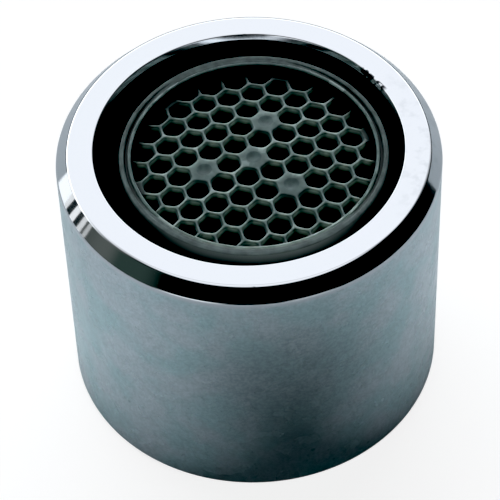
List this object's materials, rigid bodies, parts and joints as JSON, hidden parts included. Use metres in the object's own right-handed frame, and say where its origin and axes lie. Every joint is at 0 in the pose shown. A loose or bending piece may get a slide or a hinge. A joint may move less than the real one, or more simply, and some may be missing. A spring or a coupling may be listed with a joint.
{
  "type": "tap aerator",
  "caption": "Round screw-on tap aerator: chromed cylindrical housing with a bevelled outlet rim and a dark plastic honeycomb insert that mixes air into the water.",
  "frame": {"origin": "centre of the inlet end, on the face it stands on", "axes": "+Z along the housing's axis, from the threaded inlet to the outlet"},
  "size_m": [0.024, 0.024, 0.0192],
  "materials": {
    "chrome_plate": "bright chrome plating on turned brass, slightly dull on the wall",
    "black_rubber": "matte black rubber",
    "dark_plastic": "satin dark grey-green moulded plastic",
    "pale_plastic": "satin pale grey moulded plastic"
  },
  "bodies": {
    "root": {"housing": "chrome_plate", "sealing_washer": "black_rubber", "insert_sleeve": "dark_plastic", "outlet_honeycomb": "dark_plastic", "second_mixing_grid": "pale_plastic", "first_mixing_grid": "pale_plastic", "jet_plate": "pale_plastic", "strainer": "pale_plastic"}
  },
  "joints": []
}
